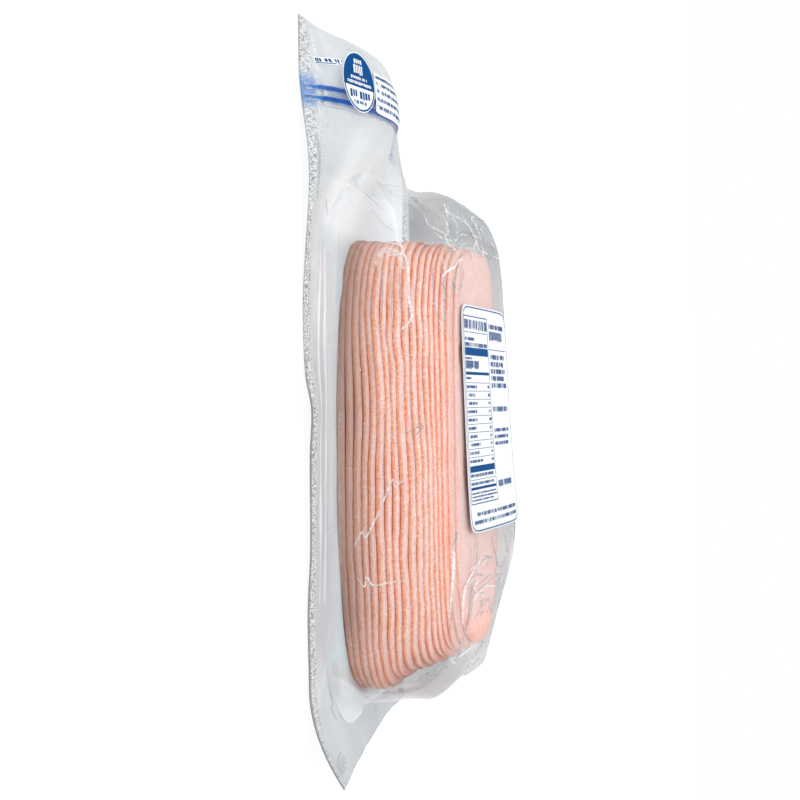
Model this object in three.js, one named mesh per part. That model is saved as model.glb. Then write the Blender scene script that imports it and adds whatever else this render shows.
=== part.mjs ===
// A clear pouch of sliced ham with a press-to-close zip, lying on its flat front web.
// Millimetres. X runs across the pouch, Y along it with the zip end at +Y, and Z up.
// The origin is under the middle of the pouch, on the surface that it lies on.
import * as THREE from 'three';

// Driving dimensions
const pouchLength = 280;
const pouchWidth = 170;
const webThickness = 0.8; // both films and their weld, as one sheet
const touchGap = 0.3; // air kept between neighbouring pieces
const contactHalf = 50; // the web lies flat on the ground this far to either side
const zipCentre = 112.4; // distance of the zip from the middle of the pouch, along Y
const zipSpacing = 3.9;
const zipTrackWidth = 1.7;
const zipTrackHeight = 0.8;
const zipClearance = 0.8; // air under the tracks
const zipInset = 1; // the tracks stop this far inside the cut edges
const sealBand = 10; // welded margin at the sides
const sliceCount = 18;
const sliceRidge = 0.55; // how far the edge of a slice stands out under the film
const labelWidth = 80;
const labelLength = 92.5;
const labelThickness = 0.5;
const labelCentre = { x: 16, y: -7.8 };
const labelClearance = 0.6;

const halfLength = pouchLength / 2;
const halfWidth = pouchWidth / 2;
const hugShare = 1; // how much of the ridging shows on the side that the film hugs
const looseShare = 0.3; // and where the film stands off the slices
const hugLimit = -0.3; // the hugged side, as the cosine of the turn round the pocket

// How high the two long edges of the web float above the ground, from foot to head.
const nearEdgeLift = curveThrough([
  [-140, 0.3], [-104, 1.0], [-76, 0.9], [-54, 2.1], [-20, 2.4], [-3, 3.1],
  [10, 1.0], [36, 0.5], [54, 1.6], [78, 3.3], [92, 3.0], [108, 1.0], [120, 0], [140, 0],
]);
const farEdgeLift = curveThrough([
  [-140, 0], [-100, 0.6], [-50, 1.6], [0, 2.6], [50, 4.2], [92, 5.0], [100, 4.7],
  [107, 2.8], [116, 1.4], [128, 0.3], [140, 0],
]);

// The header bows upward across its width: strongly at the zip, gently at its cut edge.
const bowAtZip = curveThrough([
  [-85, 0], [-70, 11.2], [-50, 18.2], [-24, 21.6], [0, 16.7], [20, 11.3], [45, 5.2], [85, 0],
]);
const bowAtTop = curveThrough([[-85, 0], [-60, 2.4], [-33, 8.7], [-6, 11.7], [25, 9.6], [60, 4.5], [85, 0]]);
const bowStart = 62;
const bowFull = 108;
const bowLength = 120; // the bow would die out over this length below the zip
const headerBend = 3; // how late the header drops from the zip's bow to that of its cut edge

// The foot of the web curls up, most at its near corner.
const curlStart = -104;
const curlHeight = 13.2;
const curlReach = 60; // the curl dies out here, across the pouch
const curlBend = 1.9; // how sharply it rises along the pouch
const curlSpread = 1.3; // and towards the near corner

// The pocket's outline from its foot (at 0) to its upper shoulder (at 1), as distances from the origin.
// Outside the foot both films lie flat together, so that part belongs to the web.
const pocketLevels = {
  near: curveThrough([
    [0, 52], [0.03, 47], [0.1, 42.3], [0.2, 40.3], [0.6, 40], [0.85, 39.3], [0.95, 37], [1, 32],
  ]),
  far: curveThrough([[0, 74], [0.03, 72.5], [0.12, 71], [0.5, 68.5], [0.8, 67], [0.93, 65], [1, 60]]),
  foot: curveThrough([
    [0, 128], [0.03, 124.5], [0.12, 121], [0.5, 120], [0.74, 119.5], [0.82, 117.5], [0.9, 114], [1, 110],
  ]),
  head: curveThrough([
    [0, 91], [0.03, 89.5], [0.12, 88], [0.4, 86], [0.57, 83.8],
    [0.73, 83.6], [0.86, 82], [0.93, 80.5], [1, 77],
  ]),
  squareness: curveThrough([[0, 8], [0.12, 7], [0.5, 6.5], [0.93, 6.5], [1, 6.5]]),
};
const footSlant = 6; // towards the top the foot reaches this much further at its far corner

// The pocket's upper face: level beside the stack, and a crest over the far shoulder.
const nearTop = 46.5;
const crestStart = -55; // the face begins to climb here, across the pouch
const crestFull = 60;
const crest = curveThrough([
  [-122, 44], [-110, 46], [-90, 51], [-70, 56.5], [-52, 58], [-30, 56.5],
  [0, 55.2], [36, 54], [60, 52.6], [72, 50.5], [82, 47.5],
]);

// A smooth curve through [place, value] pairs, level beyond its ends.
function curveThrough(knots) {
  const slope = (index) => {
    const before = knots[Math.max(index - 1, 0)];
    const after = knots[Math.min(index + 1, knots.length - 1)];
    return (after[1] - before[1]) / (after[0] - before[0]);
  };
  return (place) => {
    if (place <= knots[0][0]) return knots[0][1];
    const upper = knots.findIndex((knot) => knot[0] >= place);
    if (upper < 0) return knots[knots.length - 1][1];
    const [startPlace, startValue] = knots[upper - 1];
    const [endPlace, endValue] = knots[upper];
    const span = endPlace - startPlace;
    const t = (place - startPlace) / span;
    const blend = t * t * (3 - 2 * t);
    const leaving = t * (1 - t) * (1 - t) * span * slope(upper - 1);
    const arriving = t * t * (t - 1) * span * slope(upper);
    return startValue + (endValue - startValue) * blend + leaving + arriving;
  };
}

function ease(from, to, value) {
  const t = THREE.MathUtils.clamp((value - from) / (to - from), 0, 1);
  return t * t * (3 - 2 * t);
}

// Height of the underside of the web above the ground.
function webHeight(x, y) {
  const near = nearEdgeLift(y) * ease(-contactHalf, -halfWidth, x);
  const far = farEdgeLift(y) * ease(contactHalf, halfWidth, x);
  const towardsTop = THREE.MathUtils.clamp((y - zipCentre) / (halfLength - zipCentre), 0, 1) ** headerBend;
  const rising = ease(bowStart, bowFull, y) * THREE.MathUtils.clamp(1 - (zipCentre - y) / bowLength, 0, 1);
  const bow = THREE.MathUtils.lerp(bowAtZip(x), bowAtTop(x), towardsTop) * rising;
  const along = Math.max((curlStart - y) / (curlStart + halfLength), 0) ** curlBend;
  const across = Math.max((curlReach - x) / (curlReach + halfWidth), 0) ** curlSpread;
  return Math.max(near + far + bow + curlHeight * along * across, 0);
}

// Height of the pocket's upper face above the ground.
function pocketTop(x, y) {
  return THREE.MathUtils.lerp(nearTop, crest(y), ease(crestStart, crestFull, x));
}

// A point on a rounded oblong; turn goes once round it in radians, and corners sharpen with squareness.
function oblongPoint(turn, near, far, foot, head, squareness) {
  const c = Math.cos(turn);
  const s = Math.sin(turn);
  const reach = (Math.abs(c) ** squareness + Math.abs(s) ** squareness) ** (-1 / squareness);
  return [
    (far - near) / 2 + (far + near) / 2 * c * reach,
    (head - foot) / 2 + (head + foot) / 2 * s * reach,
  ];
}

function meshFrom(name, points, triangles, colour, roughness) {
  const geometry = new THREE.BufferGeometry();
  geometry.setAttribute('position', new THREE.Float32BufferAttribute(points.flat(), 3));
  geometry.setIndex(triangles.flat());
  geometry.computeVertexNormals();
  const material = new THREE.MeshStandardMaterial({ color: colour, roughness, metalness: 0 });
  const mesh = new THREE.Mesh(geometry, material);
  mesh.name = name;
  return mesh;
}

// A closed sheet over the given columns and rows, between two height functions.
function sheetSolid(name, columns, rows, under, over, colour, roughness) {
  const points = [];
  const triangles = [];
  const at = (layer, column, row) => (layer * columns.length + column) * rows.length + row;
  for (const height of [under, over]) {
    for (const x of columns) {
      for (const y of rows) points.push([x, y, height(x, y)]);
    }
  }
  const quad = (a, b, c, d) => triangles.push([a, b, c], [a, c, d]);
  const lastColumn = columns.length - 1;
  const lastRow = rows.length - 1;
  for (let i = 0; i < lastColumn; i += 1) {
    for (let j = 0; j < lastRow; j += 1) {
      quad(at(1, i, j), at(1, i + 1, j), at(1, i + 1, j + 1), at(1, i, j + 1));
      quad(at(0, i, j), at(0, i, j + 1), at(0, i + 1, j + 1), at(0, i + 1, j));
    }
    quad(at(0, i, 0), at(0, i + 1, 0), at(1, i + 1, 0), at(1, i, 0));
    quad(at(0, i + 1, lastRow), at(0, i, lastRow), at(1, i, lastRow), at(1, i + 1, lastRow));
  }
  for (let j = 0; j < lastRow; j += 1) {
    quad(at(0, 0, j + 1), at(0, 0, j), at(1, 0, j), at(1, 0, j + 1));
    quad(at(0, lastColumn, j), at(0, lastColumn, j + 1), at(1, lastColumn, j + 1), at(1, lastColumn, j));
  }
  return meshFrom(name, points, triangles, colour, roughness);
}

// A closed solid through a pile of rings, with a centre point below and above.
function ringSolid(name, below, rings, above, colour, roughness) {
  const around = rings[0].length;
  const points = [below, ...rings.flat(), above];
  const last = points.length - 1;
  const triangles = [];
  for (let i = 0; i < around; i += 1) {
    const next = (i + 1) % around;
    triangles.push([0, 1 + next, 1 + i]);
    for (let r = 0; r < rings.length - 1; r += 1) {
      const low = 1 + r * around;
      const high = low + around;
      triangles.push([low + i, low + next, high + next], [low + i, high + next, high + i]);
    }
    triangles.push([last - around + i, last - around + next, last]);
  }
  return meshFrom(name, points, triangles, colour, roughness);
}

function evenly(from, to, steps) {
  return Array.from({ length: steps + 1 }, (_, index) => from + (to - from) * index / steps);
}

// The flat front web with its header, welded margins and curled foot.
function makeFrontWeb() {
  const columns = [
    -halfWidth, -halfWidth + sealBand, ...evenly(-66, 66, 13), halfWidth - sealBand, halfWidth,
  ];
  const rows = [...evenly(-halfLength, curlStart, 5), ...evenly(-90, 60, 7), ...evenly(67, 103, 6),
    ...evenly(108, halfLength, 6)];
  const over = (x, y) => webHeight(x, y) + webThickness;
  return sheetSolid('front_web', columns, rows, webHeight, over, 0xdfe4e7, 0.3);
}

// The deep pocket with the slices inside it. Each slice shows as a ridge under the film.
function makeFilledPocket() {
  const around = 44;
  const turns = evenly(0, 2 * Math.PI, around).slice(0, around);
  const floor = (x, y) => webHeight(x, y) + webThickness + touchGap;
  const level = (key, at) => pocketLevels[key](at);
  const outline = (turn, at) => {
    const [x, y] = oblongPoint(turn, level('near', at), level('far', at),
      level('foot', at), level('head', at), level('squareness', at));
    return [x, y - footSlant * ease(0.8, 0.92, at) * ease(-5, 45, x) * ease(-80, -108, y)];
  };
  const ringAt = (at, ridge) => turns.map((turn) => {
    const [x, y] = outline(turn, at);
    const hug = Math.cos(turn) < hugLimit ? hugShare : looseShare;
    const stretch = 1 + ridge * hug / Math.hypot(x, y);
    const low = floor(x, y);
    return [x * stretch, y * stretch, low + (pocketTop(x, y) - low) * at];
  });
  const innerRing = (scale, at, height) => turns.map((turn) => {
    const [x, y] = outline(turn, at);
    const centre = [(level('far', at) - level('near', at)) / 2, (level('head', at) - level('foot', at)) / 2];
    const place = [centre[0] + (x - centre[0]) * scale, centre[1] + (y - centre[1]) * scale];
    return [...place, height(...place)];
  });
  // The stack's lowest and highest edges, as shares of the pocket's height.
  const stackBottom = 0.1;
  const stackTop = 0.93;
  const floorScales = [0.35, 0.65, 0.84, 0.93];
  const footLevels = [0, 0.025, 0.06];
  const shoulderLevels = [0.97, 1];
  const topScales = [0.8, 0.55, 0.3];
  const ridges = evenly(stackBottom, stackTop, sliceCount * 2)
    .map((at, index) => ringAt(at, index % 2 ? sliceRidge : -sliceRidge));
  const rings = [
    ...floorScales.map((scale) => innerRing(scale, 0, floor)),
    ...footLevels.map((at) => ringAt(at, 0)),
    ...ridges,
    ...shoulderLevels.map((at) => ringAt(at, 0)),
    ...topScales.map((scale) => innerRing(scale, 1, pocketTop)),
  ];
  const floorMiddle = [0, -20];
  const topMiddle = [10, -14];
  return ringSolid('filled_pocket', [...floorMiddle, floor(...floorMiddle)], rings,
    [...topMiddle, pocketTop(...topMiddle)], 0xf0ab8e, 0.35);
}

// One of the two press-together tracks of the zip, lying across the bowed header.
function makeZipTrack(index) {
  const centre = zipCentre + (index - 0.5) * zipSpacing;
  const columns = evenly(-halfWidth + zipInset, halfWidth - zipInset, 28);
  const rows = [centre - zipTrackWidth / 2, centre + zipTrackWidth / 2];
  const under = (x, y) => webHeight(x, y) + webThickness + zipClearance;
  const over = (x, y) => under(x, y) + zipTrackHeight;
  return sheetSolid(`zip_track_${index + 1}`, columns, rows, under, over, 0x3f73c4, 0.35);
}

// The paper label on the pocket's upper face.
function makeBackLabel() {
  const columns = evenly(labelCentre.x - labelWidth / 2, labelCentre.x + labelWidth / 2, 9);
  const rows = evenly(labelCentre.y - labelLength / 2, labelCentre.y + labelLength / 2, 9);
  const under = (x, y) => pocketTop(x, y) + labelClearance;
  const over = (x, y) => under(x, y) + labelThickness;
  return sheetSolid('back_label', columns, rows, under, over, 0xf4f6f8, 0.5);
}

const pouch = new THREE.Group();
pouch.add(makeFrontWeb(), makeFilledPocket(), makeZipTrack(0), makeZipTrack(1), makeBackLabel());

export default pouch;
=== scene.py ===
import math
from functools import partial

import bpy
import numpy as np
from mathutils import Matrix, Vector


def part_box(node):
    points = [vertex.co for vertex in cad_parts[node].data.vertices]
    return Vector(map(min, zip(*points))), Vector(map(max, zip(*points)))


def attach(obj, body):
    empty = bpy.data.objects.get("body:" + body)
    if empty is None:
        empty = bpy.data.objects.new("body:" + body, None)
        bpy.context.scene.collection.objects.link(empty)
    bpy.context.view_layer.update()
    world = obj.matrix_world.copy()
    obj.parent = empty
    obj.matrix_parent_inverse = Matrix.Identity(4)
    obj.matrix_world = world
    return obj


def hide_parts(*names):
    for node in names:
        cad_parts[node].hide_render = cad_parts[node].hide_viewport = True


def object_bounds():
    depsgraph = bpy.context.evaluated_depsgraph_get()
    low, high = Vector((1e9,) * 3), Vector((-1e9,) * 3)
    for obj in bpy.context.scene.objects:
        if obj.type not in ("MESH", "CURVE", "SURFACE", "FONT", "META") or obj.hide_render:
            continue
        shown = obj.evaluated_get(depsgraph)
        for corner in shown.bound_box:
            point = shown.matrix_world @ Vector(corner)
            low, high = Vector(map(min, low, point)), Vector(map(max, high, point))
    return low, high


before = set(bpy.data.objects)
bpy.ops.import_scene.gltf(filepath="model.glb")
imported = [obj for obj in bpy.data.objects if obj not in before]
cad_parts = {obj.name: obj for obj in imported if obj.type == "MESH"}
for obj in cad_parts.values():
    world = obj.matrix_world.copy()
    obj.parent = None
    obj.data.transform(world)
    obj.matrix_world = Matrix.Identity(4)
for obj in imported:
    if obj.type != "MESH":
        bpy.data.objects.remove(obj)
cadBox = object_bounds()
mm = 0.001  # shapes are worked out in millimetres and built in metres

cameraSettings = {
    "place": (-611.0, 0.0, 145.4),  # mm
    "lookDown": 11.754,  # degrees below level, along +X
    "roll": 0.7,  # degrees, on top of the quarter turn
    "lens": 67.8,
    "sensor": 36.0,
}


def newObject(name, data):
    made = bpy.data.objects.new(name, data)
    bpy.context.scene.collection.objects.link(made)
    return made


def placeCamera(place, lookDown, roll, lens, sensor):
    data = bpy.data.cameras.new("camera")
    data.lens = lens
    data.sensor_width = sensor
    camera = newObject("camera", data)
    down, roll = math.radians(lookDown), math.radians(roll)
    back = Vector((-math.cos(down), 0.0, math.sin(down)))
    side = Vector((math.sin(down), 0.0, math.cos(down)))
    along = Vector((0.0, 1.0, 0.0))
    right = side * math.cos(roll) - along * math.sin(roll)
    up = along * math.cos(roll) + side * math.sin(roll)
    turn = Matrix((right, up, back)).transposed().to_4x4()
    camera.matrix_world = Matrix.Translation(Vector(place) * mm) @ turn
    bpy.context.scene.camera = camera


placeCamera(**cameraSettings)
print("camera placed")


# A smooth curve through (place, value) pairs, level beyond its ends.
def curveThrough(knots):
    place, value = np.array(knots, float).T
    before = np.r_[0, np.arange(len(place) - 1)]
    after = np.r_[np.arange(1, len(place)), len(place) - 1]
    slope = (value[after] - value[before]) / (place[after] - place[before])

    def at(where):
        where = np.clip(where, place[0], place[-1])
        upper = np.clip(np.searchsorted(place, where), 1, len(place) - 1)
        lower = upper - 1
        span = place[upper] - place[lower]
        t = (where - place[lower]) / span
        middle = value[lower] + (value[upper] - value[lower]) * t * t * (3 - 2 * t)
        leaving = t * (1 - t) ** 2 * span * slope[lower]
        return middle + leaving + t * t * (t - 1) * span * slope[upper]

    return at


def ease(start, end, value):
    t = np.clip((value - start) / (end - start), 0, 1)
    return t * t * (3 - 2 * t)


# Smooth seeded wandering between -1 and 1, one swell for each unit of u or v.
def wander(seed, u, v):
    lattice = np.random.default_rng(seed).random((64, 64)) * 2 - 1
    i, j = np.floor(u).astype(int), np.floor(v).astype(int)
    s, t = ease(0, 1, u - i), ease(0, 1, v - j)
    i, j, nextI, nextJ = i % 64, j % 64, (i + 1) % 64, (j + 1) % 64
    low = lattice[i, j] * (1 - s) + lattice[nextI, j] * s
    high = lattice[i, nextJ] * (1 - s) + lattice[nextI, nextJ] * s
    return low * (1 - t) + high * t


# A smooth line through points, and where in the list each of its stations is.
def smoothPath(path, steps=8):
    path = np.array(path, float)
    stations = np.linspace(0, len(path) - 1, (len(path) - 1) * steps + 1)
    bends = [curveThrough(list(zip(range(len(path)), path[:, axis]))) for axis in (0, 1)]
    return np.stack([bend(stations) for bend in bends], axis=1), stations


# How strongly a fold along a path is felt at (a, b): 1 on it, 0 well off it.
def fold(a, b, path, width):
    line, stations = smoothPath(path)
    felt = np.zeros(np.broadcast(a, b).shape)
    for start, end, station in zip(line[:-1], line[1:], stations):
        span = end - start
        share = ((a - start[0]) * span[0] + (b - start[1]) * span[1]) / max(span @ span, 1e-9)
        share = np.clip(share, 0, 1)
        gap = np.hypot(a - start[0] - share * span[0], b - start[1] - share * span[1])
        middle = station / stations[-1]
        fade = min(1.0, 5 * middle + 0.25, 5 * (1 - middle) + 0.25)
        felt = np.maximum(felt, np.exp(-(gap / width) ** 2) * fade)
    return felt


pouch = {
    "filmThickness": 0.35,  # mm, both films where they lie together
    "zipCentre": 112.4,
    "bowStart": 62,
    "bowFull": 108,
    "bowLength": 120,
    "headerBend": 3,
    "contactHalf": 50,
    "curlStart": -104,
    "curlHeight": 13.2,
    "curlReach": 60,
    "curlBend": 1.9,
    "curlSpread": 1.3,
    "sealBand": 10,
}
halfWidth = cadBox[1][0] / mm
halfLength = cadBox[1][1] / mm
nearEdgeLift = curveThrough([
    (-140, 0.3), (-104, 1.0), (-76, 0.9), (-54, 2.1), (-20, 2.4), (-3, 3.1),
    (10, 1.0), (36, 0.5), (54, 1.6), (78, 3.3), (92, 3.0), (108, 1.0), (120, 0), (140, 0)])
farEdgeLift = curveThrough([
    (-140, 0), (-100, 0.6), (-50, 1.6), (0, 2.6), (50, 4.2), (92, 5.0), (100, 4.7),
    (107, 2.8), (116, 1.4), (128, 0.3), (140, 0)])
bowAtZip = curveThrough([
    (-85, 0), (-70, 11.2), (-50, 18.2), (-24, 21.6), (0, 16.7), (20, 11.3), (45, 5.2), (85, 0)])
bowAtTop = curveThrough([(-85, 0), (-60, 2.4), (-33, 8.7), (-6, 11.7), (25, 9.6), (60, 4.5), (85, 0)])


# Height of the underside of the flat web, as in the part itself.
def webHeight(x, y):
    contact = pouch["contactHalf"]
    near = nearEdgeLift(y) * ease(-contact, -halfWidth, x)
    far = farEdgeLift(y) * ease(contact, halfWidth, x)
    towardsTop = np.clip((y - pouch["zipCentre"]) / (halfLength - pouch["zipCentre"]), 0, 1)
    towardsTop = towardsTop ** pouch["headerBend"]
    rising = ease(pouch["bowStart"], pouch["bowFull"], y)
    rising = rising * np.clip(1 - (pouch["zipCentre"] - y) / pouch["bowLength"], 0, 1)
    bow = (bowAtZip(x) * (1 - towardsTop) + bowAtTop(x) * towardsTop) * rising
    along = np.maximum((pouch["curlStart"] - y) / (pouch["curlStart"] + halfLength), 0)
    across = np.maximum((pouch["curlReach"] - x) / (pouch["curlReach"] + halfWidth), 0)
    curl = pouch["curlHeight"] * along ** pouch["curlBend"] * across ** pouch["curlSpread"]
    return np.maximum(near + far + bow + curl, 0)


def webTop(x, y):
    return webHeight(x, y) + pouch["filmThickness"]


pocketLevels = {
    "near": [(0, 52), (0.03, 47), (0.1, 42.3), (0.2, 40.3), (0.6, 40), (0.85, 39.3),
             (0.95, 37), (1, 32)],
    "far": [(0, 74), (0.03, 72.5), (0.12, 71), (0.5, 68.5), (0.8, 67), (0.93, 65), (1, 60)],
    "foot": [(0, 128), (0.03, 125), (0.12, 123), (0.3, 122.2), (0.5, 120.5), (0.74, 119.5),
             (0.82, 117.5), (0.9, 114), (1, 110)],
    "head": [(0, 91), (0.03, 89.5), (0.12, 88), (0.4, 86), (0.57, 83.8), (0.73, 83.6),
             (0.86, 82), (0.93, 80.5), (1, 77)],
    "squareness": [(0, 8), (0.12, 7), (0.5, 6.5), (0.93, 6.5), (1, 6.5)],
}
footSlant = 6  # mm, how much further the foot reaches at its far corner, towards the top
crestHeight = curveThrough([
    (-122, 44), (-110, 46), (-90, 51), (-70, 56.5), (-52, 58), (-30, 56.5),
    (0, 55.2), (36, 54), (60, 52.6), (72, 50.5), (82, 47.5)])
nearTop = 46.5


def pocketTop(x, y):
    return nearTop + (crestHeight(y) - nearTop) * ease(-55, 60, x)


# A point on a rounded oblong, whose corners sharpen with squareness.
def oblongPoint(turn, near, far, foot, head, squareness):
    c, s = np.cos(turn), np.sin(turn)
    reach = (np.abs(c) ** squareness + np.abs(s) ** squareness) ** (-1 / squareness)
    return ((far - near) / 2 + (far + near) / 2 * c * reach,
            (head - foot) / 2 + (head + foot) / 2 * s * reach)


def levelAt(levels, share):
    return [curveThrough(knots)(share) for knots in levels.values()]


# The outline of the pocket, from the web (share 0) to its shoulder (share 1).
def pocketOutline(turn, share):
    x, y = oblongPoint(turn, *levelAt(pocketLevels, share))
    return x, y - footSlant * ease(0.8, 0.92, share) * ease(-5, 45, x) * ease(-80, -108, y)


# A grid over spans, each (start, end, count).
def gridOf(*spans):
    return np.meshgrid(*[np.linspace(*span) for span in spans], indexing="ij")


# Points in metres, from millimetres.
def gridPoints(x, y, z):
    return np.stack(np.broadcast_arrays(x, y, z), axis=-1).reshape(-1, 3) * mm


# The faces of a grid of points; its columns can close on themselves.
def gridFaces(rows, columns, closed=False):
    i = np.arange(rows - 1)[:, None] * columns
    j = np.arange(columns if closed else columns - 1)[None, :]
    nextJ = (j + 1) % columns
    corners = np.broadcast_arrays(i + j, i + columns + j, i + columns + nextJ, i + nextJ)
    return np.stack(corners, axis=-1).reshape(-1, 4)


# A piece of the pouch, attached to the root body when it is given a slot name, or left loose, as the
# floor is. The parts it replaces are hidden. Its material reads the marks.
def meshPiece(name, points, faces, material, slotName=None, replaced=(), marks=None, shadow=True):
    mesh = bpy.data.meshes.new(name)
    mesh.from_pydata(points.tolist(), [], faces.tolist())
    mesh.shade_smooth()
    for mark, values in (marks or {}).items():
        layer = mesh.attributes.new(mark, "FLOAT", "POINT")
        layer.data.foreach_set("value", np.asarray(values, np.float32).ravel())
    mesh.materials.append(material)
    piece = newObject(name, mesh)
    piece.visible_shadow = shadow
    if slotName:
        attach(piece, "root")
    if replaced:
        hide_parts(*replaced)
    return piece


def gridPiece(name, x, y, z, *values, closed=False, **more):
    return meshPiece(name, gridPoints(x, y, z), gridFaces(*x.shape, closed), *values, **more)


# Gathers patches of a surface and makes them one piece.
class Patches:
    def __init__(self):
        self.points, self.faces, self.total = [], [], 0

    def add(self, x, y, z):
        x, y, z = np.broadcast_arrays(x, y, z)
        self.points.append(gridPoints(x, y, z))
        self.faces.append(gridFaces(*x.shape) + self.total)
        self.total += x.size

    def piece(self, name, material, slotName, shadow=False):
        points, faces = np.concatenate(self.points), np.concatenate(self.faces)
        meshPiece(name, points, faces, material, slotName, shadow=shadow)


# An sRGB hex value as linear colour.
def tone(hexValue):
    parts = [int(hexValue[start:start + 2], 16) / 255 for start in (1, 3, 5)]
    return (*[part / 12.92 if part <= 0.04045 else ((part + 0.055) / 1.055) ** 2.4
              for part in parts], 1.0)


# Adds a node with its settings and links, and gives back one output. Inputs go by name or in
# order, and stops are a colour ramp's (place, hex) pairs.
def addNode(tree, kind, inputs=(), output=0, stops=(), **settings):
    node = tree.nodes.new("ShaderNode" + kind)
    for name, value in settings.items():
        setattr(node, name, value)
    for name, value in inputs.items() if isinstance(inputs, dict) else enumerate(inputs):
        if isinstance(value, bpy.types.NodeSocket):
            tree.links.new(value, node.inputs[name])
        else:
            node.inputs[name].default_value = value
    for index, (place, colour) in enumerate(stops):
        elements = node.color_ramp.elements
        element = elements[index] if index < 2 else elements.new(place)
        element.position, element.color = place, tone(colour)
    return node.outputs[output] if node.outputs else None


# A material whose look is the shader that a surface function gives back.
def newMaterial(name, surface, *values):
    material = bpy.data.materials.new(name)
    material.use_nodes = True
    material.node_tree.nodes.clear()
    add = partial(addNode, material.node_tree)
    add("OutputMaterial", {"Surface": surface(add, *values)})
    return material


ham = {
    "fibre": 1.1,  # mm, coarse muscle fibre seen on a cut rim
    "patch": 6.0,  # mm, paler and more smoked patches
    "patchShare": 0.14,
    "marble": 3.8,  # mm, marbling of a cut face
    "grain": 0.32,  # mm, fine speckle of the lean meat
    "rims": [(0.0, "#DE7A50"), (0.12, "#EC7F45"), (0.3, "#FB985C"), (0.44, "#FDB88C"),
             (0.58, "#FCDEDA"), (0.84, "#F8D2D1"), (1.0, "#EFA288")],
    "patches": [(0.3, "#FCB58C"), (0.5, "#FDCEBA"), (0.7, "#FFE0DA")],
    "faces": [(0.3, "#EE9C83"), (0.5, "#F2B3A2"), (0.64, "#F6C5BC"), (0.8, "#FBE2DD")],
    "wet": "#FFF1EE",
    "dry": "#DC6E42",
    "shade": "#8E6A5C",
}


# Cured ham: moist sliced muscle. Each rim runs from orange below to pale above: partly the meat's own
# banding, partly painted shade below and a painted highlight above.
def hamSurface(add):
    place = add("TexCoord", output="Object")
    along = add("Mapping", {"Vector": place, "Scale": (0.4, 0.12, 1)})
    wide = add("Mapping", {"Vector": place, "Scale": (0.8, 0.5, 1.4)})
    fibre, patch, marble = [
        add("TexNoise", {
            "Vector": vector, "Scale": 1 / (ham[name] * mm), "Detail": detail, "Roughness": roughness})
        for name, vector, detail, roughness in (
            ("fibre", along, 4, 0.6), ("patch", wide, 3, 0.55), ("marble", place, 5, 0.65))]
    grain = add("TexVoronoi", {"Vector": place, "Scale": 1 / (ham["grain"] * mm)}, output="Color")
    ragged = add("MapRange", [fibre, 0.25, 0.75, -0.14, 0.14])
    rim = add("Attribute", output="Fac", attribute_name="rim")
    wobble = add("Math", [rim, ragged], operation="ADD", use_clamp=True)
    # Painted shade and highlight: along each rim the colour darkens below and pales above.
    base = add("ValToRGB", [wobble], stops=ham["rims"])
    patches = add("ValToRGB", [patch], stops=ham["patches"])
    face = add("ValToRGB", [marble], stops=ham["faces"])
    onFace, low = [add("Attribute", output="Fac", attribute_name=name) for name in ("face", "low")]
    pale = add("MapRange", [grain, 0.52, 0.8, 0.0, 0.5])
    dark = add("MapRange", [grain, 0.48, 0.2, 0.0, 0.42])
    for share, colour in ((ham["patchShare"], patches), (onFace, face), (pale, tone(ham["wet"])),
                          (dark, tone(ham["dry"])), (low, tone(ham["shade"]))):
        base = add("Mix", {0: share, 6: base, 7: colour}, output=2, data_type="RGBA")
    gloss = add("MapRange", [grain, 0.3, 0.7, 0.32, 0.5])
    normal = add("Bump", {"Height": grain, "Strength": 0.1, "Distance": 0.1 * mm})
    return add("BsdfPrincipled", {
        "Base Color": base, "Roughness": gloss, "IOR": 1.4, "Normal": normal, "Subsurface Weight": 0.15,
        "Subsurface Radius": (0.004, 0.0015, 0.001), "Subsurface Scale": 0.3})


film = {
    "ripple": 3.3,  # mm, faint unevenness from forming
    "veil": [(0.0, "#59646C"), (0.5, "#98A2A9"), (1.0, "#E8EFF4")],  # grey to white by the frost mark, with a blue tint painted against the ham's warm reflected light
    "creasePatch": 1.4,  # mm, how a crease breaks up along its length
    "shine": 0.09,
    "ior": 1.45,
}


# Clear polyamide and polyethylene film, vacuum formed: thin and glossy, so it is nearly invisible
# where it is seen square on, and whitens or greys where it is steep, stretched or folded. The white
# streaks in its veil are painted highlights.
def filmSurface(add, steepShare, glossShare):
    place = add("TexCoord", output="Object")
    ripple = add("TexNoise", {"Vector": place, "Scale": 1 / (film["ripple"] * mm), "Detail": 2})
    normal = add("Bump", {"Height": ripple, "Strength": 0.2, "Distance": 0.6 * mm})
    facing = add("LayerWeight", {"Blend": 0.5, "Normal": normal}, output="Facing")
    steep = add("Math", [facing, 3.0], operation="POWER")
    steep = add("Math", [steep, steepShare], operation="MULTIPLY")
    haze, frost = [add("Attribute", output="Fac", attribute_name=name) for name in ("haze", "frost")]
    cover = add("Math", [steep, haze], operation="ADD", use_clamp=True)
    base = add("ValToRGB", [frost], stops=film["veil"])
    veil = add("BsdfPrincipled", {
        "Base Color": base, "Roughness": 0.3, "IOR": film["ior"], "Normal": normal})
    clear = add("BsdfTransparent")
    body = add("MixShader", [cover, clear, veil])
    shine = add("BsdfGlossy", {"Roughness": film["shine"], "Normal": normal})
    fresnel = add("Fresnel", {"IOR": film["ior"], "Normal": normal})
    gloss = add("Math", [fresnel, glossShare], operation="MULTIPLY")
    return add("MixShader", [gloss, body, shine])


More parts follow.
